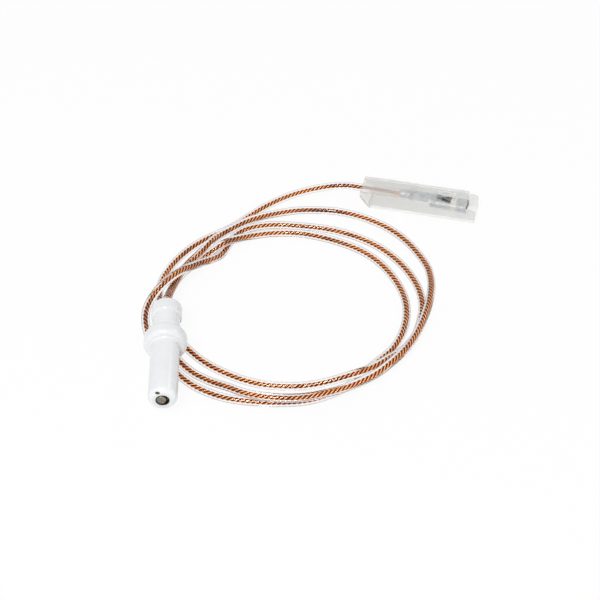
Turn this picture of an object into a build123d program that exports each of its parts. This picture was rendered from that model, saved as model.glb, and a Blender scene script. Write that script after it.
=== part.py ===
from build123d import *
from math import cos, pi, radians, sin, tan
import os

# Flame sensor probe: a glazed ceramic electrode holder, its clear-insulated copper lead
# lying in three loose loops, and a receptacle terminal inside a translucent cover.
# Millimetres. Origin: centre of the collar's front seating face, on the probe axis.
# -Y points to the sensing tip, +Y to the lead exit, +Z up.

# ---- ceramic insulator, turned about the Y axis ----
shank_d = 6.5
shank_length = 16.4
tip_round = 1.3
collar_d = 9.8
collar_length = 3.7
collar_round = 0.8
land_d = 7.0
land_length = 2.3
groove_d = 6.2
groove_length = 3.5
groove_bevel = 0.35
head_length = 3.8
head_bevel = 0.7
round_steps = 3

# ---- electrode, and what joins it to the lead inside the insulator ----
electrode_d = 2.2
electrode_chamfer = 0.2
electrode_clearance = 0.05
mouth_d = 2.9
mouth_depth = 1.1
flange_d = 3.4
flange_length = 0.9
flange_y = 0.8
tail_d = 1.2
tail_length = 3.4
chamber_d = 4.0
splice_d = 2.4
splice_gap = 0.5
splice_length = 6.6
stripped_length = 3.4
cement_gap = 0.3
cement_recess = 0.4

# ---- lead ----
lead_d = 2.0
core_d = 0.8
core_clearance = 0.02
lead_sides = 8
core_sides = 4
flat_depth = lead_d / 10

# ---- terminal, stamped from thin strip and seen along its own axis ----
stock = 0.32
terminal_setback = 10.1
terminal_skew = 3.5
grip_length = 2.6
grip_seam = 0.3
grip_step = 0.9
crimp_length = 3.2
crimp_width = 1.9
crimp_drop = 0.75
crimp_round = 0.45
crimp_notch = 0.3
bellmouth = 0.4
shoulder_length = 1.1
receptacle_length = 9.6
receptacle_width = 4.2
receptacle_height = 2.0
roll_r = 0.36
roll_rise = 0.5
roll_gap = 0.36
lance_length = 3.1
lance_width = 2.1
lance_rise = 0.42
lance_slit = 0.12
lance_setback = 3.6

# ---- terminal cover ----
cover_length = 30.0
cover_width = 7.4
cover_height = 4.8
cover_wall = 0.7
cover_edge_round = 0.45
lip_length = 2.6
lip_drop = 1.0
lip_round = 1.2
rear_cut_length = 2.7
rear_cut_height = 3.3
window_length = 4.8
window_width = 4.6
window_setback = 5.6
window_offset = -0.5

# ---- how the probe lies: the collar rests over the lead, the cover stands on the floor ----
seat_gap = 0.3
cover_centre = (63.3, 57.5)
cover_yaw = -16.0

# ---- loops of the lead, one value for each quarter turn, clockwise from above ----
loop_centre = (30.0, 20.5)
first_angle = 135.0
loop_radius = [29.3, 35.9, 30.4, 32.9, 26.7, 29.0, 27.9, 28.7, 26.0, 24.9, 29.2, 36.2, 33.0]
loop_lift = [2.2, 0.0, 0.0, 0.0, 0.0, 0.0, 0.0, 0.0, 2.9, 0.0, 3.6, 0.0, 0.0]

collar_back = collar_length
land_back = collar_back + land_length
groove_back = land_back + groove_length
exit_y = groove_back + head_length
floor_z = -(collar_d / 2 + lead_d - flat_depth + seat_gap)
lie_z = floor_z + lead_d / 2 - flat_depth
bore_d = electrode_d + 2 * electrode_clearance
tail_end = flange_y + flange_length + tail_length
splice_start = flange_y + flange_length + splice_gap
splice_end = splice_start + splice_length
core_start = splice_end - stripped_length
lead_start = splice_end + cement_gap
run_share = 0.45
touch = 0.001

os.makedirs("parts", exist_ok=True)


def finish(part, name):
    part.label = name
    export_step(part, "parts/" + name + ".step")


def rings(part, y, diameter):
    """Round edges of a turned part at one place along its axis."""
    round_edges = part.edges().filter_by(GeomType.CIRCLE)
    at_y = round_edges.filter_by(lambda e: abs(e.arc_center.Y - y) < touch)
    return at_y.filter_by(lambda e: abs(2 * e.radius - diameter) < touch)


def rounded(y, diameter, radius, side):
    """Steps round an outer edge of a turned part, at its front face (side -1) or rear face (1)."""
    angles = [pi / 2 * n / round_steps for n in range(round_steps + 1)]
    steps = [(diameter / 2 - radius * (1 - sin(a)), y - side * radius * (1 - cos(a))) for a in angles]
    return steps[::-side]


# ======== ceramic insulator ========
with BuildPart() as ceramic_insulator:
    with BuildSketch(Plane.XY):
        with BuildLine():
            Polyline(
                (0, -shank_length),
                *rounded(-shank_length, shank_d, tip_round, -1),
                (shank_d / 2, 0),
                *rounded(0, collar_d, collar_round, -1),
                *rounded(collar_back, collar_d, collar_round, 1),
                (land_d / 2, collar_back),
                (land_d / 2, land_back),
                (groove_d / 2, land_back),
                (groove_d / 2, groove_back),
                (land_d / 2, groove_back),
                (land_d / 2, exit_y),
                (0, exit_y),
                close=True,
            )
        make_face()
    revolve(axis=Axis.Y)
    for groove_edge in (land_back, groove_back):
        chamfer(rings(ceramic_insulator, groove_edge, land_d), groove_bevel)
    chamfer(rings(ceramic_insulator, exit_y, land_d), head_bevel)
    # bore for the electrode, its open mouth at the tip, and the splice chamber behind the flange
    with BuildSketch(Plane.XY):
        with BuildLine():
            Polyline(
                (0, -shank_length),
                (mouth_d / 2, -shank_length),
                (mouth_d / 2, mouth_depth - shank_length),
                (bore_d / 2, mouth_depth - shank_length),
                (bore_d / 2, flange_y),
                (chamber_d / 2, flange_y),
                (chamber_d / 2, exit_y),
                (0, exit_y),
                close=True,
            )
        make_face()
    revolve(axis=Axis.Y, mode=Mode.SUBTRACT)
finish(ceramic_insulator.part, "ceramic_insulator")

# ======== electrode: rod, flange that seats in the chamber, and a thin tail ========
with BuildPart() as electrode_rod:
    with BuildSketch(Plane.XY):
        with BuildLine():
            Polyline(
                (0, -shank_length),
                (electrode_d / 2, -shank_length),
                (electrode_d / 2, flange_y),
                (flange_d / 2, flange_y),
                (flange_d / 2, flange_y + flange_length),
                (tail_d / 2, flange_y + flange_length),
                (tail_d / 2, tail_end),
                (0, tail_end),
                close=True,
            )
        make_face()
    revolve(axis=Axis.Y)
    chamfer(rings(electrode_rod, -shank_length, electrode_d), electrode_chamfer)
finish(electrode_rod.part, "electrode_rod")

# ======== splice sleeve: crimped on the electrode's tail and the lead's stripped end ========
with BuildPart() as splice_sleeve:
    with BuildSketch(Plane.XZ.offset(-splice_start)):
        Circle(splice_d / 2)
    extrude(amount=-splice_length)
    with BuildSketch(Plane.XZ.offset(-splice_start)):
        Circle(tail_d / 2)
    extrude(amount=splice_start - core_start, mode=Mode.SUBTRACT)
    with BuildSketch(Plane.XZ.offset(-core_start)):
        RegularPolygon(core_d / 2, core_sides)
    extrude(amount=core_start - splice_end, mode=Mode.SUBTRACT)
finish(splice_sleeve.part, "splice_sleeve")

# ======== cement that seals the lead into the insulator ========
with BuildPart() as rear_cement:
    with BuildSketch(Plane.XZ.offset(-lead_start)):
        Circle(chamber_d / 2)
        RegularPolygon(lead_d / 2, lead_sides, mode=Mode.SUBTRACT)
    extrude(amount=-(exit_y - cement_recess - lead_start))
finish(rear_cement.part, "rear_cement")

# ======== where the cover and the terminal lie ========
grip_front = terminal_setback + grip_length
crimp_rear = grip_front + grip_step
crimp_front = crimp_rear + crimp_length
shoulder_front = crimp_front + shoulder_length
mouth = shoulder_front + receptacle_length
lead_end = (grip_front + crimp_rear) / 2
core_end = crimp_front + bellmouth
up = Vector(0, 0, 1)


def lying(yaw, point, distance):
    """Frame of a piece lying at a yaw, X along it, that passes a point this far from its origin."""
    along = Vector(cos(radians(yaw)), sin(radians(yaw)), 0)
    return Plane(origin=point - along * distance, x_dir=along, z_dir=up)


def on_axis(frame, distance):
    """Point of a piece's axis at a distance from its frame's origin."""
    return frame.origin + frame.x_dir * distance


def across(frame, distance):
    """Section plane of a piece: X to its far side, Y up."""
    return Plane(origin=on_axis(frame, distance), x_dir=frame.y_dir, z_dir=frame.x_dir)


def seen_from_above(frame, height):
    """Plan view of a piece: X along it, Y to its far side."""
    return Plane(origin=frame.origin + up * height, x_dir=frame.x_dir, z_dir=up)


def seen_from_side(frame):
    """Side view of a piece: X along it, Y up, extruding to the near side."""
    return Plane(origin=frame.origin, x_dir=frame.x_dir, z_dir=-frame.y_dir)


# the terminal lies askew in its cover, both measured from the cover's rear
cover_middle = Vector(*cover_centre, floor_z + cover_height / 2)
cover_frame = lying(cover_yaw, cover_middle, cover_length / 2)
terminal_frame = lying(cover_yaw - terminal_skew, on_axis(cover_frame, mouth), mouth)

# ======== lead: its loops, and the free stretches on each side of them ========
last_station = len(loop_radius) - 1


def station(k):
    """Point and direction of the loops after k quarter turns."""
    angle = radians(first_angle - 90 * k)
    before = max(k - 1, 0)
    after = min(k + 1, last_station)
    swept = (after - before) * pi / 2
    growth = (loop_radius[after] - loop_radius[before]) / swept
    climb = (loop_lift[after] - loop_lift[before]) / swept
    r = loop_radius[k]
    outward = Vector(cos(angle), sin(angle), 0)
    forward = Vector(sin(angle), -cos(angle), 0)
    point = Vector(*loop_centre, lie_z + loop_lift[k]) + outward * r
    heading = outward * growth + forward * r + up * climb
    return point, heading.normalized()


def biarc_joint(start, start_heading, end, end_heading):
    """Where the two arcs meet that leave one station and reach the next tangentially."""
    span = end - start
    a = 2 * (start_heading.dot(end_heading) - 1)
    b = -2 * span.dot(start_heading + end_heading)
    c = span.dot(span)
    reach = (-b - (b * b - 4 * a * c) ** 0.5) / (2 * a)
    joint = (start + end + (start_heading - end_heading) * reach) / 2
    heading = end - end_heading * reach - start - start_heading * reach
    return joint, heading.normalized()


loop_start, start_heading = station(0)
loop_end, end_heading = station(last_station)
coil_rear = loop_start - start_heading * lead_d
coil_front = loop_end + end_heading * lead_d

with BuildLine() as loops:
    Line(coil_rear, loop_start)
    for k in range(last_station):
        here, heading = station(k)
        there, next_heading = station(k + 1)
        joint, joint_heading = biarc_joint(here, heading, there, next_heading)
        TangentArc(here, joint, tangent=heading)
        TangentArc(joint, there, tangent=joint_heading)
    Line(loop_end, coil_front)


def corner_radii(points):
    """The largest arcs that the runs on each side of every corner leave room for."""
    radii = []
    for a, b, c in zip(points, points[1:], points[2:]):
        shorter = min((b - a).length, (c - b).length)
        radii.append(run_share * shorter / tan(radians((b - a).get_angle(c - b)) / 2))
    return radii


# from the insulator back and down to the loops
exit_points = [
    Vector(0, exit_y + 3.0, 0),
    Vector(0.8, exit_y + 10.0, -0.5),
    Vector(2.6, exit_y + 16.8, -1.7),
    coil_rear - start_heading * 4.6,
    coil_rear,
]
# from the terminal cover round to the loops
run_points = [
    on_axis(terminal_frame, -2.5),
    Vector(42.6, 64.9, lie_z + 1.4),
    Vector(37.5, 64.6, lie_z + 0.9),
    Vector(31.4, 63.1, lie_z + 0.4),
    Vector(25.3, 59.6, lie_z),
    Vector(19.5, 54.4, lie_z),
    coil_front + end_heading * 6.5,
    coil_front,
]
exit_line = [Vector(0, lead_start, 0)] + exit_points
run_line = [on_axis(terminal_frame, lead_end)] + run_points
with BuildLine() as exit_path:
    FilletPolyline(*exit_line, radius=corner_radii(exit_line))
with BuildLine() as exit_core_path:
    FilletPolyline(Vector(0, core_start, 0), *exit_points, radius=corner_radii(exit_line))
with BuildLine() as run_path:
    FilletPolyline(*run_line, radius=corner_radii(run_line))
with BuildLine() as run_core_path:
    FilletPolyline(on_axis(terminal_frame, core_end), *run_points, radius=corner_radii(run_line))


def square_to(path):
    """Section plane at the start of a path."""
    heading = path.wire() % 0
    return Plane(origin=path.wire() @ 0, x_dir=up.cross(heading), z_dir=heading)


insulation = {"lead_exit": exit_path, "lead_coil": loops, "lead_run": run_path}
for name, path in insulation.items():
    with BuildPart() as jacket:
        with BuildSketch(square_to(path)):
            RegularPolygon(lead_d / 2, lead_sides)
            RegularPolygon(core_d / 2 + core_clearance, core_sides, mode=Mode.SUBTRACT)
        sweep(path=path.wire())
        swept_volume = jacket.part.volume
        section_area = jacket.faces().sort_by(lambda f: (f.center() - path.wire() @ 0).length)[0].area
        print(name, "length", round(path.wire().length, 1), "volume ratio",
              round(swept_volume / (section_area * path.wire().length), 4))
        split(bisect_by=Plane.XY.offset(floor_z), keep=Keep.TOP)
    finish(jacket.part, name)

conductor = {"core_exit": exit_core_path, "core_coil": loops, "core_run": run_core_path}
for name, path in conductor.items():
    with BuildPart() as core:
        with BuildSketch(square_to(path)):
            RegularPolygon(core_d / 2, core_sides)
        sweep(path=path.wire())
    finish(core.part, name)


def clear_of_itself(path):
    """Least space between stretches of the lead that are more than half a loop apart."""
    count = round(path.length / lead_d * 2)
    spots = [path @ (n / count) for n in range(count + 1)]
    apart = round(min(loop_radius) * pi / (path.length / count))
    gaps = [(b - a).length for n, a in enumerate(spots) for b in spots[n + apart:]]
    return min(gaps) - lead_d


whole_lead = Wire([*exit_path.edges(), *loops.edges(), *run_path.edges()])
print("lead length", round(whole_lead.length, 1), "least gap to itself", round(clear_of_itself(whole_lead), 2))
print("exit radii", [round(r, 1) for r in corner_radii(exit_line)])
print("run radii", [round(r, 1) for r in corner_radii(run_line)])
arcs = loops.edges().filter_by(GeomType.CIRCLE)
print("least loop radius", round(min(edge.radius for edge in arcs), 1))

# ======== terminal: grip round the insulation, wire crimp, shoulder, rolled receptacle ========
strip_mid = (receptacle_height - stock) / 2
roll_mid = (roll_gap + stock) / 2
floor_half = (receptacle_width - receptacle_height) / 2
floor_top = receptacle_height / 2
grip_top = lead_d / 2 + stock
lance_root = mouth - lance_setback
lance_tip = lance_root - lance_length

with BuildPart() as lance:
    with BuildSketch(seen_from_side(terminal_frame)):
        with BuildLine():
            Polyline(
                (lance_root, floor_top - stock),
                (lance_root, floor_top),
                (lance_tip, floor_top + lance_rise),
                (lance_tip, floor_top + lance_rise - stock),
                close=True,
            )
        make_face()
    extrude(amount=lance_width, both=True)
    with BuildSketch(seen_from_above(terminal_frame, 0)):
        with BuildLine():
            Polyline((lance_root, -lance_width / 2), (lance_root, lance_width / 2), (lance_tip, 0), close=True)
        make_face()
    extrude(amount=receptacle_height, mode=Mode.INTERSECT)

with BuildPart() as terminal:
    with BuildSketch(across(terminal_frame, terminal_setback)):
        Circle(grip_top)
        RegularPolygon(lead_d / 2, lead_sides, mode=Mode.SUBTRACT)
        with Locations((0, -grip_top)):
            Rectangle(grip_seam, 2 * grip_top, mode=Mode.SUBTRACT)
    extrude(amount=grip_length)
    # floor strip that steps down from the grip to the crimp and runs on to the shoulder
    with BuildSketch(seen_from_side(terminal_frame)):
        with BuildLine():
            Polyline(
                (grip_front, grip_top),
                (lead_end, grip_top),
                (crimp_rear, floor_top),
                (shoulder_front, floor_top),
                (shoulder_front, floor_top - stock),
                (crimp_rear, floor_top - stock),
                (lead_end, grip_top - stock),
                (grip_front, grip_top - stock),
                close=True,
            )
        make_face()
    extrude(amount=crimp_width / 2, both=True)
    # wire crimp, folded in at its closing seam
    with BuildSketch(across(terminal_frame, crimp_rear)):
        with Locations((0, (floor_top - crimp_drop) / 2)):
            RectangleRounded(crimp_width, floor_top + crimp_drop, crimp_round)
        RegularPolygon(core_d / 2, core_sides, mode=Mode.SUBTRACT)
        with BuildLine():
            Polyline(
                (-crimp_notch, -crimp_drop),
                (crimp_notch, -crimp_drop),
                (0, crimp_notch - crimp_drop),
                close=True,
            )
        make_face(mode=Mode.SUBTRACT)
    extrude(amount=crimp_length)
    # shoulder that widens to the receptacle, and its side walls
    with BuildSketch(seen_from_above(terminal_frame, floor_top)):
        with BuildLine():
            Polyline(
                (crimp_front, -crimp_width / 2),
                (shoulder_front, -floor_half),
                (shoulder_front, floor_half),
                (crimp_front, crimp_width / 2),
                close=True,
            )
        make_face()
    extrude(amount=-stock)
    # receptacle: its edges roll over and turn in to press a blade against the floor
    with BuildSketch(across(terminal_frame, shoulder_front)):
        with BuildLine():
            Line((0, strip_mid), (floor_half, strip_mid))
            CenterArc((floor_half, 0), strip_mid, 90, -180)
            Line((floor_half, -strip_mid), (roll_mid + roll_r, -strip_mid))
            CenterArc((roll_mid + roll_r, roll_r - strip_mid), roll_r, -90, -90)
            Line((roll_mid, roll_r - strip_mid), (roll_mid, roll_r + roll_rise - strip_mid))
            mirror(about=Plane.YZ)
        trace(line_width=stock)
    extrude(amount=receptacle_length)
    # the lance's opening in the floor
    with BuildSketch(seen_from_above(terminal_frame, floor_top)):
        with BuildLine():
            Polyline(
                (lance_root, -lance_width / 2 - lance_slit),
                (lance_root, lance_width / 2 + lance_slit),
                (lance_tip - lance_slit, 0),
                close=True,
            )
        make_face()
    extrude(amount=-stock, mode=Mode.SUBTRACT)
    add(lance.part)
finish(terminal.part, "terminal")

# ======== terminal cover: open sleeve with a lance window, a front lip and a sloped rear end ========
cavity_width = cover_width - 2 * cover_wall
cavity_height = cover_height - 2 * cover_wall
window_front = cover_length - window_setback
with BuildPart() as terminal_cover:
    with BuildSketch(across(cover_frame, 0)):
        RectangleRounded(cover_width, cover_height, cover_edge_round)
        Rectangle(cavity_width, cavity_height, mode=Mode.SUBTRACT)
    extrude(amount=cover_length)
    with BuildSketch(seen_from_above(cover_frame, 0)):
        with Locations((window_front - window_length / 2, window_offset)):
            Rectangle(window_length, window_width)
    extrude(amount=cover_height, mode=Mode.SUBTRACT)
    # the top wall stops short of the front, and the side walls round down to it
    with BuildSketch(seen_from_side(cover_frame)):
        with BuildLine():
            Polyline(
                (cover_length - lip_length, cover_height),
                (cover_length - lip_length, cover_height / 2 - lip_drop),
                (cover_length - lip_round, cover_height / 2 - lip_drop),
            )
            RadiusArc(
                (cover_length - lip_round, cover_height / 2 - lip_drop),
                (cover_length, cover_height / 2 - lip_drop - lip_round),
                lip_round,
            )
            Polyline(
                (cover_length, cover_height / 2 - lip_drop - lip_round),
                (cover_length, cover_height),
                (cover_length - lip_length, cover_height),
            )
        make_face()
    extrude(amount=cover_width, both=True, mode=Mode.SUBTRACT)
    # the bottom wall starts short of the rear, and the side walls slope up to their rear edges
    with BuildSketch(seen_from_side(cover_frame)):
        with BuildLine():
            Polyline(
                (0, -cover_height / 2),
                (rear_cut_length, -cover_height / 2),
                (0, rear_cut_height - cover_height / 2),
                close=True,
            )
        make_face()
    extrude(amount=cover_width, both=True, mode=Mode.SUBTRACT)
finish(terminal_cover.part, "terminal_cover")
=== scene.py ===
import math

import bmesh
import bpy
from mathutils import Matrix, Vector


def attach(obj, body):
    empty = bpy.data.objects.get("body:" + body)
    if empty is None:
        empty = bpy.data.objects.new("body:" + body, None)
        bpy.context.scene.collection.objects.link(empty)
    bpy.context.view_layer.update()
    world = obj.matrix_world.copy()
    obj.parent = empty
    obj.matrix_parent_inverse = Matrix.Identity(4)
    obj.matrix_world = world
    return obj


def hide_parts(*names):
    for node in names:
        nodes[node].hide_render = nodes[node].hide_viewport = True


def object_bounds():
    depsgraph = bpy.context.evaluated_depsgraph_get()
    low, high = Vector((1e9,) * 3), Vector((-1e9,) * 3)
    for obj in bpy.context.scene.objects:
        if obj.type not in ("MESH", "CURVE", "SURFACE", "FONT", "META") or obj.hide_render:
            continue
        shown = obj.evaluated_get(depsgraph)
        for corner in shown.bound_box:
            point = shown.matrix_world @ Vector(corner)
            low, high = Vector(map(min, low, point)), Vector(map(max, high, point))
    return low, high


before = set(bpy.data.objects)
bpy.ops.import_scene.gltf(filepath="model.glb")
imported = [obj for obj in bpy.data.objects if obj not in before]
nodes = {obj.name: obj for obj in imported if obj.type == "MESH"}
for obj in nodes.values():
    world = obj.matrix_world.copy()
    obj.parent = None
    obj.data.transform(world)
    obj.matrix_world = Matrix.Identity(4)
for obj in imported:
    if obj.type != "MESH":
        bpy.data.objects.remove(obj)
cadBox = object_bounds()
# sizes and places are in millimetres and angles in degrees; both are converted where they reach Blender
mm = 0.001
floorHeight = cadBox[0].z


# ---- mesh helpers ----

arcStep = math.radians(9)


def meshObject(name, mesh, material=None):
    piece = bpy.data.objects.new(name, mesh)
    bpy.context.scene.collection.objects.link(piece)
    if material:
        mesh.materials.clear()
        mesh.materials.append(material)
    return piece


def roundedOutline(corners):
    # corners are (y, r, rounding); each rounding becomes an arc that touches both sides
    outline = []
    for i, (y, r, rounding) in enumerate(corners):
        here = Vector((y, r))
        if rounding == 0:
            outline.append(here)
            continue
        before = Vector(corners[i - 1][:2]) - here
        after = Vector(corners[(i + 1) % len(corners)][:2]) - here
        opening = before.angle(after)
        reach = rounding / math.tan(opening / 2)
        bisector = (before.normalized() + after.normalized()).normalized()
        middle = here + bisector * rounding / math.sin(opening / 2)
        first = here + before.normalized() * reach - middle
        last = here + after.normalized() * reach - middle
        side = 1 if first.cross(last) > 0 else -1
        turn = math.pi - opening
        pieces = max(2, math.ceil(turn / arcStep))
        for k in range(pieces + 1):
            outline.append(middle + Matrix.Rotation(side * turn * k / pieces, 2) @ first)
    return outline


def spinAboutY(name, outline, around, material):
    # outline is a closed loop of (y, r); points on the axis become single vertices
    build = bmesh.new()
    rings = []
    for y, r in outline:
        if r == 0:
            rings.append([build.verts.new((0, y * mm, 0))])
            continue
        ring = []
        for k in range(around):
            angle = 2 * math.pi * k / around
            ring.append(build.verts.new((r * mm * math.sin(angle), y * mm, r * mm * math.cos(angle))))
        rings.append(ring)
    for i, ring in enumerate(rings):
        following = rings[(i + 1) % len(rings)]
        for k in range(around):
            corners = [ring[k % len(ring)], ring[(k + 1) % len(ring)],
                       following[(k + 1) % len(following)], following[k % len(following)]]
            unique = list(dict.fromkeys(corners))
            if len(unique) > 2:
                build.faces.new(unique)
    bmesh.ops.recalc_face_normals(build, faces=build.faces)
    mesh = bpy.data.meshes.new(name)
    build.to_mesh(mesh)
    build.free()
    mesh.shade_smooth()
    return meshObject(name, mesh, material)


# ---- camera ----

shot = {"target": (31.04, 22.48, -7.0), "distance": 325.0, "elevation": 42.0, "turn": 2.2,
        "fieldOfView": 25.0, "nearest": 10.0}


def addCamera():
    tilt = math.radians(shot["elevation"])
    turn = math.radians(shot["turn"])
    forward = Vector((math.sin(turn) * math.cos(tilt), math.cos(turn) * math.cos(tilt), -math.sin(tilt)))
    lens = bpy.data.cameras.new("productCamera")
    lens.angle = math.radians(shot["fieldOfView"])
    lens.clip_start = shot["nearest"] * mm
    camera = bpy.data.objects.new("productCamera", lens)
    camera.location = (Vector(shot["target"]) - forward * shot["distance"]) * mm
    camera.rotation_mode = "QUATERNION"
    camera.rotation_quaternion = forward.to_track_quat("-Z", "Y")
    bpy.context.scene.collection.objects.link(camera)
    bpy.context.scene.camera = camera


addCamera()
print("camera ready")


# ---- node tree helpers: an input is given as a value or as the socket that drives it ----

def setInputs(tree, node, values):
    for label, value in values.items():
        if isinstance(value, bpy.types.NodeSocket):
            tree.links.new(value, node.inputs[label])
        else:
            node.inputs[label].default_value = value


def addNode(tree, kind, values=None, **settings):
    node = tree.nodes.new(kind)
    for label, setting in settings.items():
        setattr(node, label, setting)
    setInputs(tree, node, values or {})
    return node


def arithmetic(tree, operation, *values):
    return addNode(tree, "ShaderNodeMath", dict(enumerate(values)), operation=operation).outputs["Value"]


def vectorMaths(tree, operation, *vectors, scale=None):
    inputs = dict(enumerate(vectors))
    if scale is not None:
        inputs["Scale"] = scale
    node = addNode(tree, "ShaderNodeVectorMath", inputs, operation=operation)
    return node.outputs["Value" if operation in ("LENGTH", "DOT_PRODUCT") else "Vector"]


def ranged(tree, factor, low, high, fromLow=0.3, fromHigh=0.7):
    spread = addNode(tree, "ShaderNodeMapRange", {
        "Value": factor, "From Min": fromLow, "From Max": fromHigh, "To Min": low, "To Max": high})
    return spread.outputs["Result"]


def colourRamp(tree, factor, stops):
    ramp = addNode(tree, "ShaderNodeValToRGB", {"Fac": factor})
    elements = ramp.color_ramp.elements
    while len(elements) < len(stops):
        elements.new(0.5)
    for element, (place, colour) in zip(elements, stops):
        element.position = place
        element.color = (*colour, 1.0)
    return ramp.outputs["Color"]


def objectNoise(tree, scale, detail=3.0, roughness=0.55, stretch=(1, 1, 1)):
    place = addNode(tree, "ShaderNodeTexCoord")
    mapping = addNode(tree, "ShaderNodeMapping", {"Vector": place.outputs["Object"], "Scale": stretch})
    noise = addNode(tree, "ShaderNodeTexNoise", {
        "Vector": mapping.outputs["Vector"], "Scale": scale, "Detail": detail, "Roughness": roughness})
    return noise.outputs["Fac"]


def clouded(tree, scale, dark, light, spread=(0.3, 0.7), **noise):
    # a noise and the colour that follows it
    cloud = objectNoise(tree, scale, **noise)
    return cloud, colourRamp(tree, cloud, [(spread[0], dark), (spread[1], light)])


def placeFrom(tree, origin=(0, 0, 0), heading=0.0, unit=(1, 1, 1)):
    # the place on the object in the given units, counted from an origin that may be turned about Z
    place = addNode(tree, "ShaderNodeTexCoord")
    local = addNode(tree, "ShaderNodeMapping", {
        "Vector": place.outputs["Object"], "Location": [c * mm for c in origin],
        "Rotation": (0, 0, math.radians(heading)), "Scale": [c * mm for c in unit]},
        vector_type="TEXTURE")
    return local.outputs["Vector"]


def axesOf(tree, vector):
    return addNode(tree, "ShaderNodeSeparateXYZ", {"Vector": vector}).outputs


def coveredBy(tree, under, colour, factor):
    blend = addNode(tree, "ShaderNodeMix", {"Factor": factor, "A": under, "B": (*colour, 1.0)},
                    data_type="RGBA")
    return blend.outputs["Result"]


def bumped(tree, height, depth):
    return addNode(tree, "ShaderNodeBump", {"Height": height, "Distance": depth * mm}).outputs["Normal"]


def newMaterial(name):
    material = bpy.data.materials.new(name)
    material.use_nodes = True
    return material, material.node_tree, material.node_tree.nodes["Principled BSDF"]


# ---- where the terminal and its cover lie: the terminal is a little askew in the cover ----

cover = {"length": 30.0, "height": 4.8, "centre": (63.3, 57.5), "yaw": -16.0, "skew": 3.5}
# distances from the cover's rear end
terminal = {"approach": -2.0, "leadEnd": 13.15, "coreEnd": 17.2, "mouth": 27.5}
terminalHeading = cover["yaw"] - cover["skew"]


def headed(yaw):
    return Vector((math.cos(math.radians(yaw)), math.sin(math.radians(yaw)), 0))


coverMiddle = Vector((*cover["centre"], floorHeight / mm + cover["height"] / 2))
terminalMouth = coverMiddle + headed(cover["yaw"]) * (terminal["mouth"] - cover["length"] / 2)


def onTerminalAxis(distance):
    return terminalMouth + headed(terminalHeading) * (distance - terminal["mouth"])


# ---- finish of the ceramic: a dark ring of scorch and painted shade round the electrode, a faint scorch haze beyond it, and one small dark chip beside it ----

scorchAndRecessShade = {"ringInside": 1.46, "ringOutside": 1.62, "hazeOutside": 2.5, "hazeDepth": 0.16,
          "reach": -15.2, "fade": 0.4, "colour": (0.035, 0.022, 0.012)}
# the chip fades out between solidTo and goneAt, which are multiples of its half size
chip = {"centre": (-0.9, -16.2, 2.2), "halfSize": (0.6, 0.6, 0.34), "solidTo": 0.7, "goneAt": 1.15}


def glazedCeramic():
    material, tree, shader = newMaterial("glazedCeramic")
    cloud, tint = clouded(tree, scale=220, detail=4, dark=(0.80, 0.815, 0.835), light=(0.86, 0.87, 0.885))
    axes = axesOf(tree, placeFrom(tree))
    squares = [arithmetic(tree, "POWER", axes[name], 2.0) for name in "XZ"]
    fromAxis = arithmetic(tree, "SQRT", arithmetic(tree, "ADD", *squares))
    # the dark ring in the mouth is part scorch and part painted shade in the recess round the electrode
    ring = ranged(tree, fromAxis, 1.0, 0.0, scorchAndRecessShade["ringInside"], scorchAndRecessShade["ringOutside"])
    haze = ranged(tree, fromAxis, scorchAndRecessShade["hazeDepth"], 0.0, scorchAndRecessShade["ringOutside"], scorchAndRecessShade["hazeOutside"])
    nearTip = ranged(tree, axes["Y"], 1.0, 0.0, scorchAndRecessShade["reach"], scorchAndRecessShade["reach"] + scorchAndRecessShade["fade"])
    scorchedAndShaded = arithmetic(tree, "MULTIPLY", arithmetic(tree, "MAXIMUM", ring, haze), nearTip)
    fromChip = vectorMaths(tree, "LENGTH", placeFrom(tree, chip["centre"], unit=chip["halfSize"]))
    chipped = ranged(tree, fromChip, 1.0, 0.0, chip["solidTo"], chip["goneAt"])
    marked = arithmetic(tree, "MAXIMUM", scorchedAndShaded, chipped)
    setInputs(tree, shader, {
        "Base Color": coveredBy(tree, tint, scorchAndRecessShade["colour"], marked),
        "Roughness": ranged(tree, cloud, low=0.16, high=0.26), "Coat Weight": 0.5, "Coat Roughness": 0.08,
        "Normal": bumped(tree, objectNoise(tree, scale=1400, detail=2), depth=0.01)})
    return material


# ---- finish of the terminal, with painted shade and highlight placed by distances from the middle of its mouth ----

lanceShadeAndHighlight = {"root": -4.3, "tip": -8.2, "halfWidth": 1.9, "bendLength": 2.0}
roll = {"inside": 1.15, "shadowFrom": -0.3}


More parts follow.
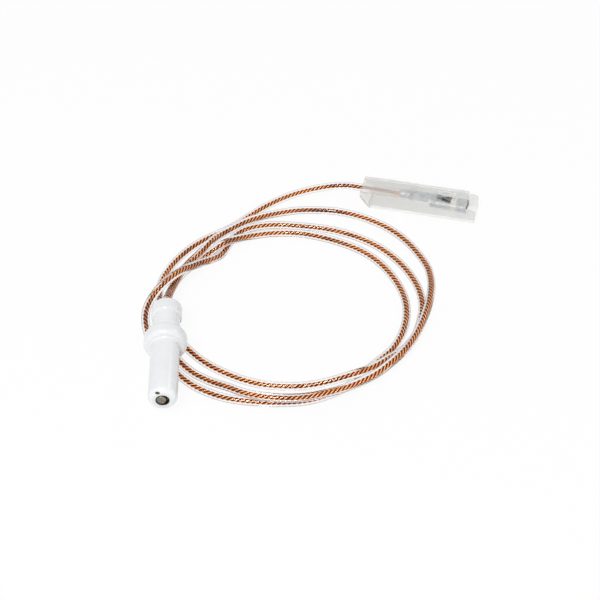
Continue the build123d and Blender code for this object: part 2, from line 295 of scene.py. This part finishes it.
def terminalSteel():
    material, tree, shader = newMaterial("terminalSteel")
    cloud, strip = clouded(tree, scale=700, detail=4, dark=(0.30, 0.36, 0.40), light=(0.62, 0.67, 0.70))
    axes = axesOf(tree, placeFrom(tree, terminalMouth, terminalHeading))
    along = axes["X"]
    across = arithmetic(tree, "ABSOLUTE", axes["Y"])
    # painted shade: a dark triangle over the lance and the opening beside it
    halfWidth = ranged(tree, along, 0.0, lanceShadeAndHighlight["halfWidth"], lanceShadeAndHighlight["tip"], lanceShadeAndHighlight["root"])
    inLanceShade = arithmetic(tree, "MULTIPLY", arithmetic(tree, "LESS_THAN", across, halfWidth),
                         arithmetic(tree, "LESS_THAN", along, lanceShadeAndHighlight["root"]))
    withLanceShade = coveredBy(tree, strip, (0.24, 0.24, 0.23), inLanceShade)
    # painted highlight: two bright bands across the bend at the lance's root
    pastRoot = ranged(tree, along, 0.0, 1.0, lanceShadeAndHighlight["root"], lanceShadeAndHighlight["root"] + lanceShadeAndHighlight["bendLength"])
    dull, bright = (0.0, 0.0, 0.0), (1.0, 1.0, 1.0)
    highlightBands = colourRamp(tree, pastRoot, [(0.0, dull), (0.04, bright), (0.3, bright), (0.36, dull),
                                        (0.44, bright), (0.7, bright), (0.85, dull)])
    withBendHighlight = coveredBy(tree, withLanceShade, (0.95, 0.90, 0.80), highlightBands)
    # painted shade: the rolled edges are dark inside at the mouth
    inRollShade = arithmetic(tree, "MULTIPLY", arithmetic(tree, "GREATER_THAN", along, roll["shadowFrom"]),
                        arithmetic(tree, "GREATER_THAN", across, roll["inside"]))
    setInputs(tree, shader, {
        "Base Color": coveredBy(tree, withBendHighlight, (0.03, 0.028, 0.025), inRollShade),
        "Roughness": ranged(tree, cloud, low=0.2, high=0.36), "Metallic": 1.0,
        "Normal": bumped(tree, cloud, depth=0.02)})
    return material


# ---- plain finishes ----

def drawnSteel():
    material, tree, shader = newMaterial("drawnSteel")
    streak, tint = clouded(tree, scale=1500, detail=3, stretch=(1, 0.05, 1),
                           dark=(0.13, 0.115, 0.085), light=(0.36, 0.33, 0.27), spread=(0.25, 0.75))
    setInputs(tree, shader, {
        "Base Color": tint, "Roughness": ranged(tree, streak, low=0.28, high=0.5), "Metallic": 1.0,
        "Normal": bumped(tree, streak, depth=0.02)})
    return material


def tinnedSteel():
    material, tree, shader = newMaterial("tinnedSteel")
    cloud, tint = clouded(tree, scale=700, detail=4, dark=(0.52, 0.55, 0.58), light=(0.80, 0.81, 0.82))
    setInputs(tree, shader, {
        "Base Color": tint, "Roughness": ranged(tree, cloud, low=0.2, high=0.36), "Metallic": 1.0,
        "Normal": bumped(tree, cloud, depth=0.02)})
    return material


def frostedNylon():
    material, tree, shader = newMaterial("frostedNylon")
    cloud, tint = clouded(tree, scale=180, detail=4, dark=(0.865, 0.865, 0.85), light=(0.90, 0.90, 0.89))
    setInputs(tree, shader, {
        "Base Color": tint, "Roughness": ranged(tree, cloud, low=0.15, high=0.2),
        "Transmission Weight": 0.75, "IOR": 1.2, "Coat Weight": 0.6, "Coat Roughness": 0.12,
        "Normal": bumped(tree, objectNoise(tree, scale=900, detail=2), depth=0.02)})
    return material


def greyCement():
    material, tree, shader = newMaterial("greyCement")
    grit, tint = clouded(tree, scale=1600, detail=5, dark=(0.50, 0.48, 0.45), light=(0.72, 0.70, 0.67))
    setInputs(tree, shader, {
        "Base Color": tint, "Roughness": 0.85, "Normal": bumped(tree, grit, depth=0.04)})
    return material


# ---- finishes of the lead ----

def brightCopper():
    material, tree, shader = newMaterial("brightCopper")
    # outerness is 1 on the crown of each strand and falls towards the valleys between strands; the ramp
    # paints shade into the valleys and a highlight on the crowns
    crown = addNode(tree, "ShaderNodeAttribute", attribute_name="outerness").outputs["Fac"]
    valleyShadeAndCrownHighlight = colourRamp(tree, crown, [
        (0.68, (0.003, 0.001, 0.001)), (0.785, (0.11, 0.008, 0.002)),
        (0.88, (0.95, 0.20, 0.03)), (1.0, (1.0, 0.60, 0.24))])
    wear, oxide = clouded(tree, scale=60, detail=5, roughness=0.7,
                          dark=(0.40, 0.26, 0.20), light=(1.0, 1.0, 1.0), spread=(0.36, 0.52))
    blend = addNode(tree, "ShaderNodeMix", {"Factor": 1.0, "A": valleyShadeAndCrownHighlight, "B": oxide},
                    data_type="RGBA", blend_type="MULTIPLY")
    setInputs(tree, shader, {
        "Base Color": blend.outputs["Result"], "Roughness": ranged(tree, wear, low=0.3, high=0.42),
        "Metallic": 1.0})
    return material


def clearInsulation():
    material, tree, shader = newMaterial("clearInsulation")
    # painted shade: the base colour greys where the clear plastic is seen edge-on, for the dark edges of
    # the tube
    edge = addNode(tree, "ShaderNodeLayerWeight", {"Blend": 0.5}).outputs["Facing"]
    tint = colourRamp(tree, edge, [
        (0.0, (0.99, 0.985, 0.98)), (0.34, (0.93, 0.925, 0.925)),
        (0.55, (0.55, 0.55, 0.57)), (0.9, (0.38, 0.38, 0.40))])
    haze = objectNoise(tree, scale=400, detail=3)
    ripple = objectNoise(tree, scale=260, detail=2)
    setInputs(tree, shader, {
        "Base Color": tint, "Roughness": ranged(tree, haze, low=0.0, high=0.03),
        "Transmission Weight": 1.0, "IOR": 1.42, "Specular IOR Level": 0.2,
        "Normal": bumped(tree, ripple, depth=0.006)})
    return material


# ---- lead: one smooth route for its clear insulation and its twisted copper strands ----

lead = {"diameter": 2.0, "length": 665.5, "insulationStart": 9.1, "coreStart": 5.4,
        "tubeSides": 24, "tubeStep": 0.5, "loopCentre": (30.0, 20.5), "resolution": 6}
bundle = {"strands": 3, "diameter": 0.345, "ring": 0.2, "lay": 3.4, "sides": 18, "step": 0.4}

# out of the insulator's rear
exitPoints = [(0, lead["coreStart"], 0), (0, lead["insulationStart"], 0), (0, 16.6, 0),
              (0.5, 21.6, -1.9)]
# the loops, clockwise from above: angle, distance from the loops' centre, height above the floor
firstLoop = [
    (168.5, 29.1, 3.7), (160, 29.1, 3.15), (152, 28.7, 3.1), (143.5, 27.9, 3.8), (137, 28.3, 4.1),
    (131, 29.1, 3.6), (125, 29.8, 3.1), (118, 30.2, 3.2), (111, 31.0, 3.2), (103, 32.2, 2.6),
    (95, 34.0, 1.6), (85, 35.9, 1.0), (67, 37.5, 1.0), (45, 37.4, 1.0), (22, 35.3, 1.2),
    (10, 33.6, 1.8), (0, 32.2, 2.5), (-10, 31.3, 2.9), (-22, 30.8, 3.1), (-33, 30.9, 3.1),
    (-43, 31.2, 3.4), (-51, 31.6, 3.7), (-58, 32.0, 3.4), (-68, 32.2, 3.1), (-79, 32.8, 3.1),
    (-90, 33.6, 3.1), (-101, 33.9, 3.12), (-111, 34.0, 3.05), (-119, 33.1, 2.5), (-127, 32.9, 1.4),
    (-138, 33.4, 1.0), (-150, 33.3, 1.0), (-160, 32.8, 2.0), (-168, 31.9, 3.2), (-175, 31.0, 3.2),
]
secondLoop = [
    (178, 30.7, 2.2), (171, 30.5, 1.1), (163, 30.2, 1.0), (156, 29.7, 1.0), (149, 28.9, 1.0),
    (144.5, 28.5, 1.0), (140.5, 27.9, 1.5), (137, 27.35, 2.15), (133.5, 26.7, 2.95),
    (129, 26.35, 3.3), (124, 26.2, 3.1), (118, 26.6, 2.3), (110, 27.2, 1.2), (100, 27.0, 1.0),
    (85, 26.3, 1.0), (67, 25.4, 1.0), (45, 25.7, 1.0), (23, 25.7, 1.0), (0, 26.6, 1.0),
    (-20, 27.1, 1.0), (-37, 27.6, 1.0), (-47, 27.3, 1.0), (-54, 27.6, 1.0), (-61, 28.6, 1.0),
    (-69, 30.2, 1.0), (-77, 31.3, 1.0), (-87, 32.6, 1.0), (-99, 33.3, 1.0), (-111, 34.3, 1.0),
    (-121, 35.6, 1.0), (-135, 36.4, 1.0), (-157, 36.6, 1.2), (-168, 36.3, 3.0), (-175, 35.3, 3.7),
]
thirdLoop = [
    (179, 33.3, 4.8), (174.5, 31.0, 6.05), (170, 29.3, 6.25), (165, 28.2, 5.8), (159, 27.2, 4.6),
    (151, 26.2, 3.3), (146, 25.8, 2.5), (140, 25.4, 1.7), (135, 25.5, 1.1), (130, 26.3, 1.0),
    (125.5, 27.6, 1.0), (120.5, 29.2, 1.0), (115, 30.4, 1.0), (109, 30.75, 1.0), (100, 30.3, 1.0),
    (90, 29.4, 1.0), (68, 29.4, 1.0), (45, 29.8, 1.0), (22, 30.1, 1.0), (0, 30.8, 1.0),
    (-22, 30.4, 1.0), (-36, 29.8, 1.1), (-44, 29.3, 2.1), (-51, 29.6, 2.9), (-60, 29.6, 3.2),
    (-69, 29.1, 3.1), (-77, 28.6, 2.2), (-85, 28.0, 1.2), (-95, 28.1, 1.0), (-112, 28.9, 1.0),
    (-135, 29.3, 1.0), (-152, 29.8, 1.0), (-162, 30.4, 1.0), (-172, 31.3, 1.0),
]
lastQuarter = [
    (178, 32.6, 1.0), (168, 33.5, 1.0), (158, 33.7, 1.0), (146, 33.5, 1.0), (133, 33.25, 1.0),
]
# off the loops and into the terminal cover
runPoints = [
    (15.2, 49.7, -6.0), (19.4, 54.3, -6.0), (25.0, 59.3, -6.0), (31.1, 62.8, -5.8),
    (37.4, 64.5, -5.4), (42.7, 64.8, -4.9),
]


def routePoints():
    points = [Vector(p) for p in exitPoints]
    centre = lead["loopCentre"]
    for loop in (firstLoop, secondLoop, thirdLoop, lastQuarter):
        for angle, distance, height in loop:
            turn = math.radians(angle)
            points.append(Vector((centre[0] + distance * math.cos(turn),
                                  centre[1] + distance * math.sin(turn),
                                  floorHeight / mm + height)))
    points += [Vector(p) for p in runPoints]
    points += [onTerminalAxis(terminal["approach"]), onTerminalAxis(terminal["coreEnd"])]
    return [p * mm for p in points]


def routeCurve(name):
    points = routePoints()
    line = bpy.data.curves.new(name, "CURVE")
    line.dimensions = "3D"
    line.resolution_u = lead["resolution"]
    spline = line.splines.new("NURBS")
    spline.points.add(len(points) - 1)
    for target, point in zip(spline.points, points):
        target.co = (*point, 1.0)
    spline.order_u = 3
    spline.use_endpoint_u = True
    curve = bpy.data.objects.new(name, line)
    bpy.context.scene.collection.objects.link(curve)
    return curve


def pointsAlong(curve):
    sampled = bpy.data.meshes.new_from_object(curve)
    points = [v.co.copy() for v in sampled.vertices]
    bpy.data.meshes.remove(sampled)
    return points


def trimmed(points, start, end):
    # the stretch of a polyline between two distances along it
    kept = []
    travelled = 0.0
    for here, there in zip(points, points[1:]):
        span = (there - here).length
        if start <= travelled <= end:
            kept.append(here)
        elif travelled < start < travelled + span:
            kept.append(here.lerp(there, (start - travelled) / span))
        if travelled < end < travelled + span:
            kept.append(here.lerp(there, (end - travelled) / span))
        travelled += span
    return kept


def newTree(name, inputs):
    tree = bpy.data.node_groups.new(name, "GeometryNodeTree")
    tree.interface.new_socket("Geometry", in_out="INPUT", socket_type="NodeSocketGeometry")
    for label, kind in inputs:
        tree.interface.new_socket(label, in_out="INPUT", socket_type=kind)
    tree.interface.new_socket("Geometry", in_out="OUTPUT", socket_type="NodeSocketGeometry")
    return tree, tree.nodes.new("NodeGroupInput").outputs, tree.nodes.new("NodeGroupOutput")


def resampled(tree, given, curve):
    even = addNode(tree, "GeometryNodeResampleCurve", {"Curve": curve, "Length": given["Step"]},
                   mode="LENGTH")
    return even.outputs["Curve"]


def swept(tree, given, curve):
    circle = addNode(tree, "GeometryNodeCurvePrimitiveCircle", {
        "Resolution": given["Sides"], "Radius": given["Radius"]})
    sweep = addNode(tree, "GeometryNodeCurveToMesh", {
        "Curve": curve, "Profile Curve": circle.outputs["Curve"], "Fill Caps": True})
    return sweep.outputs["Mesh"]


def finishTree(tree, given, result, mesh):
    smooth = addNode(tree, "GeometryNodeSetShadeSmooth", {"Geometry": mesh})
    realize = addNode(tree, "GeometryNodeRealizeInstances", {"Geometry": smooth.outputs["Geometry"]})
    paint = addNode(tree, "GeometryNodeSetMaterial", {
        "Geometry": realize.outputs["Geometry"], "Material": given["Finish"]})
    tree.links.new(paint.outputs["Geometry"], result.inputs["Geometry"])


def tubeTree():
    tree, given, result = newTree("tubeAlongRoute", [
        ("Start", "NodeSocketFloat"), ("End", "NodeSocketFloat"), ("Radius", "NodeSocketFloat"),
        ("Step", "NodeSocketFloat"), ("Sides", "NodeSocketInt"), ("Finish", "NodeSocketMaterial")])
    trim = addNode(tree, "GeometryNodeTrimCurve", {"Curve": given["Geometry"]}, mode="LENGTH")
    # the node has a hidden pair of sockets of the same names for its other mode
    for label in ("Start", "End"):
        tree.links.new(given[label], next(s for s in trim.inputs if s.name == label and s.enabled))
    finishTree(tree, given, result, swept(tree, given, resampled(tree, given, trim.outputs["Curve"])))
    return tree


def strandTree():
    tree, given, result = newTree("twistedStrands", [
        ("Strands", "NodeSocketInt"), ("Ring", "NodeSocketFloat"), ("Lay", "NodeSocketFloat"),
        ("Radius", "NodeSocketFloat"), ("Step", "NodeSocketFloat"), ("Sides", "NodeSocketInt"),
        ("Finish", "NodeSocketMaterial")])
    copies = addNode(tree, "GeometryNodeDuplicateElements", {
        "Geometry": resampled(tree, given, given["Geometry"]), "Amount": given["Strands"]},
        domain="SPLINE")
    travelled = addNode(tree, "GeometryNodeSplineParameter").outputs["Length"]
    normal = addNode(tree, "GeometryNodeInputNormal").outputs["Normal"]
    tangent = addNode(tree, "GeometryNodeInputTangent").outputs["Tangent"]
    where = addNode(tree, "GeometryNodeInputPosition").outputs["Position"]
    # each copy keeps its own share of a turn and winds once in every lay
    share = arithmetic(tree, "DIVIDE", copies.outputs["Duplicate Index"], given["Strands"])
    turns = arithmetic(tree, "DIVIDE", travelled, given["Lay"])
    angle = arithmetic(tree, "MULTIPLY", arithmetic(tree, "SUBTRACT", share, turns), 2 * math.pi)
    binormal = vectorMaths(tree, "CROSS_PRODUCT", tangent, normal)
    onNormal = arithmetic(tree, "MULTIPLY", arithmetic(tree, "COSINE", angle), given["Ring"])
    onBinormal = arithmetic(tree, "MULTIPLY", arithmetic(tree, "SINE", angle), given["Ring"])
    offset = vectorMaths(tree, "ADD", vectorMaths(tree, "SCALE", normal, scale=onNormal),
                         vectorMaths(tree, "SCALE", binormal, scale=onBinormal))
    axis = addNode(tree, "GeometryNodeStoreNamedAttribute", {
        "Geometry": copies.outputs["Geometry"], "Name": "axisPoint", "Value": where},
        data_type="FLOAT_VECTOR", domain="POINT")
    moved = addNode(tree, "GeometryNodeSetPosition", {
        "Geometry": axis.outputs["Geometry"], "Offset": offset})
    # how squarely each point of a strand faces away from the bundle's axis
    axisPoint = addNode(tree, "GeometryNodeInputNamedAttribute", {"Name": "axisPoint"},
                        data_type="FLOAT_VECTOR").outputs["Attribute"]
    away = vectorMaths(tree, "NORMALIZE", vectorMaths(tree, "SUBTRACT", where, axisPoint))
    outer = addNode(tree, "GeometryNodeStoreNamedAttribute", {
        "Geometry": swept(tree, given, moved.outputs["Geometry"]), "Name": "outerness",
        "Value": vectorMaths(tree, "DOT_PRODUCT", away, normal)}, data_type="FLOAT", domain="POINT")
    finishTree(tree, given, result, outer.outputs["Geometry"])
    return tree


def grown(name, curve, tree, inputs):
    # runs a tree on a copy of the route and keeps its result as a plain mesh
    source = curve.copy()
    source.data = curve.data.copy()
    bpy.context.scene.collection.objects.link(source)
    modifier = source.modifiers.new(name, "NODES")
    modifier.node_group = tree
    for socket in tree.interface.items_tree:
        if socket.in_out == "INPUT" and socket.name in inputs:
            modifier[socket.identifier] = inputs[socket.name]
    graph = bpy.context.evaluated_depsgraph_get()
    mesh = bpy.data.meshes.new_from_object(source.evaluated_get(graph), depsgraph=graph)
    mesh.name = name
    bpy.data.objects.remove(source)
    return meshObject(name, mesh)


def makeLead():
    route = routeCurve("leadRoute")
    line = pointsAlong(route)
    whole = sum((there - here).length for here, there in zip(line, line[1:]))
    tubeStart = (lead["insulationStart"] - lead["coreStart"]) * mm
    tubeEnd = whole - (terminal["coreEnd"] - terminal["leadEnd"]) * mm
    insulation = grown("lead_insulation", route, tubeTree(), {
        "Start": tubeStart, "End": tubeEnd, "Radius": lead["diameter"] / 2 * mm,
        "Step": lead["tubeStep"] * mm, "Sides": lead["tubeSides"], "Finish": clearInsulation()})
    strands = grown("lead_strands", route, strandTree(), {
        "Strands": bundle["strands"], "Ring": bundle["ring"] * mm, "Lay": bundle["lay"] * mm,
        "Radius": bundle["diameter"] / 2 * mm, "Step": bundle["step"] * mm,
        "Sides": bundle["sides"], "Finish": brightCopper()})
    bpy.data.objects.remove(route)
    print("lead route", round(whole / mm, 1), "mm,", len(strands.data.polygons), "strand faces,",
          len(insulation.data.polygons), "tube faces")
    return insulation, strands, trimmed(line, tubeStart, tubeEnd)


insulation, strands, tubePath = makeLead()

# ---- ceramic insulator and electrode, turned about the probe's axis ----

ceramic = {
    "around": 112, "shank": 6.5, "shankLength": 16.4, "tipRound": 1.35, "seatRound": 0.55,
    "collar": 9.8, "collarLength": 3.7, "collarRound": 1.05, "land": 7.0, "landLength": 2.3,
    "groove": 6.2, "grooveLength": 3.5, "grooveLip": 0.3, "grooveFillet": 0.12,
    "headLength": 3.8, "headRound": 0.75, "chamber": 4.0, "chamberLip": 0.15,
    "mouth": 2.9, "mouthDepth": 1.1, "mouthLip": 0.16, "mouthFillet": 0.1, "bore": 2.3, "boreEnd": 0.8,
}
electrode = {
    "around": 64, "diameter": 2.2, "chamfer": 0.2, "chamferMiddle": 0.07, "dish": 0.06,
    "halfwayDish": 0.036, "flange": 3.4, "flangeStart": 0.8, "flangeLength": 0.9, "tail": 1.2,
    "tailLength": 3.4, "lean": -0.26, "leanLength": 1.0,
}


def makeCeramic(material):
    c = ceramic
    landStart = c["collarLength"]
    grooveStart = landStart + c["landLength"]
    headStart = grooveStart + c["grooveLength"]
    rear = headStart + c["headLength"]
    tip = -c["shankLength"]
    corners = [
        (tip, c["mouth"] / 2, c["mouthLip"]),
        (tip, c["shank"] / 2, c["tipRound"]),
        (0, c["shank"] / 2, c["seatRound"]),
        (0, c["collar"] / 2, c["collarRound"]),
        (landStart, c["collar"] / 2, c["collarRound"]),
        (landStart, c["land"] / 2, c["seatRound"]),
        (grooveStart, c["land"] / 2, c["grooveLip"]),
        (grooveStart, c["groove"] / 2, c["grooveFillet"]),
        (headStart, c["groove"] / 2, c["grooveFillet"]),
        (headStart, c["land"] / 2, c["grooveLip"]),
        (rear, c["land"] / 2, c["headRound"]),
        (rear, c["chamber"] / 2, c["chamberLip"]),
        (c["boreEnd"], c["chamber"] / 2, 0),
        (c["boreEnd"], c["bore"] / 2, 0),
        (tip + c["mouthDepth"], c["bore"] / 2, 0),
        (tip + c["mouthDepth"], c["mouth"] / 2, c["mouthFillet"]),
    ]
    return spinAboutY("insulator_body", roundedOutline(corners), c["around"], material)


def makeElectrode(material):
    e = electrode
    radius = e["diameter"] / 2
    tip = -ceramic["shankLength"]
    flangeEnd = e["flangeStart"] + e["flangeLength"]
    outline = [
        (tip + e["dish"], 0),
        (tip + e["halfwayDish"], radius / 2),
        (tip, radius - e["chamfer"]),
        (tip + e["chamferMiddle"], radius - e["chamferMiddle"]),
        (tip + e["chamfer"], radius),
        (e["flangeStart"], radius),
        (e["flangeStart"], e["flange"] / 2),
        (flangeEnd, e["flange"] / 2),
        (flangeEnd, e["tail"] / 2),
        (flangeEnd + e["tailLength"], e["tail"] / 2),
        (flangeEnd + e["tailLength"], 0),
    ]
    pin = spinAboutY("electrode_pin", outline, e["around"], material)
    # its end sits a little to one side in the insulator's mouth
    for vertex in pin.data.vertices:
        if vertex.co.y < (tip + e["leanLength"]) * mm:
            vertex.co.x += e["lean"] * mm
    return pin


insulatorBody = makeCeramic(glazedCeramic())
electrodePin = makeElectrode(drawnSteel())
print("ceramic and electrode ready")

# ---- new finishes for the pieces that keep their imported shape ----

finishes = {
    "splice_sleeve": tinnedSteel(),
    "rear_cement": greyCement(),
    "terminal": terminalSteel(),
    "terminal_cover": frostedNylon(),
}
for name, finish in finishes.items():
    nodes[name].data.materials.clear()
    nodes[name].data.materials.append(finish)
print("packed pieces ready")

# ---- floor, world and lamps ----

studio = {"floorSize": 6000.0, "floorGrey": 0.93, "floorGlow": 0.92, "skyLight": 0.55}
# power is in watts
lamps = {
    "keyLamp": {"place": (-120.0, -450.0, 620.0), "size": 260.0, "power": 3.2},
    "fillLamp": {"place": (600.0, 500.0, 500.0), "size": 260.0, "power": 0.4},
}


def seenDirectly(tree):
    # 1 for rays from the camera and for those it sees mirrored or through clear pieces, 0 for soft light
    rays = addNode(tree, "ShaderNodeLightPath").outputs
    mirrored = arithmetic(tree, "MAXIMUM", rays["Is Camera Ray"], rays["Is Glossy Ray"])
    return arithmetic(tree, "MAXIMUM", mirrored, rays["Is Transmission Ray"])


def addFloor():
    half = studio["floorSize"] / 2 * mm
    mesh = bpy.data.meshes.new("floor")
    corners = [(-half, -half), (half, -half), (half, half), (-half, half)]
    mesh.from_pydata([(x, y, floorHeight) for x, y in corners], [], [(0, 1, 2, 3)])
    material, tree, shader = newMaterial("paleFloor")
    grey = studio["floorGrey"]
    setInputs(tree, shader, {
        "Base Color": (grey, grey, grey, 1.0), "Roughness": 0.9, "Specular IOR Level": 0.0})
    glow = addNode(tree, "ShaderNodeEmission", {"Color": (1, 1, 1, 1), "Strength": 1.0})
    share = arithmetic(tree, "MULTIPLY", seenDirectly(tree), studio["floorGlow"])
    blend = addNode(tree, "ShaderNodeMixShader", {
        "Fac": share, 1: shader.outputs["BSDF"], 2: glow.outputs["Emission"]})
    tree.links.new(blend.outputs["Shader"], tree.nodes["Material Output"].inputs["Surface"])
    meshObject("floor", mesh, material)


def addWorld():
    world = bpy.data.worlds.new("paleRoom")
    bpy.context.scene.world = world
    world.use_nodes = True
    tree = world.node_tree
    strength = ranged(tree, seenDirectly(tree), studio["skyLight"], 1.0, 0.0, 1.0)
    setInputs(tree, tree.nodes["Background"], {"Color": (1, 1, 1, 1), "Strength": strength})


def addLamp(name, place, size, power):
    light = bpy.data.lights.new(name, "AREA")
    light.shape = "DISK"
    light.size = size * mm
    light.energy = power
    holder = bpy.data.objects.new(name, light)
    holder.location = Vector(place) * mm
    holder.rotation_mode = "QUATERNION"
    aim = Vector(shot["target"]) - Vector(place)
    holder.rotation_quaternion = aim.to_track_quat("-Z", "Y")
    bpy.context.scene.collection.objects.link(holder)


addFloor()
addWorld()
for name, lamp in lamps.items():
    addLamp(name, **lamp)
bpy.context.scene.view_settings.view_transform = "Standard"
print("studio ready")

# ---- what rides on what ----

for piece in (insulation, strands, insulatorBody, electrodePin):
    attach(piece, "probe")
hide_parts("lead_exit", "lead_coil", "lead_run")
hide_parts("core_exit", "core_coil", "core_run")
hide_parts("ceramic_insulator")
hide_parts("electrode_rod")
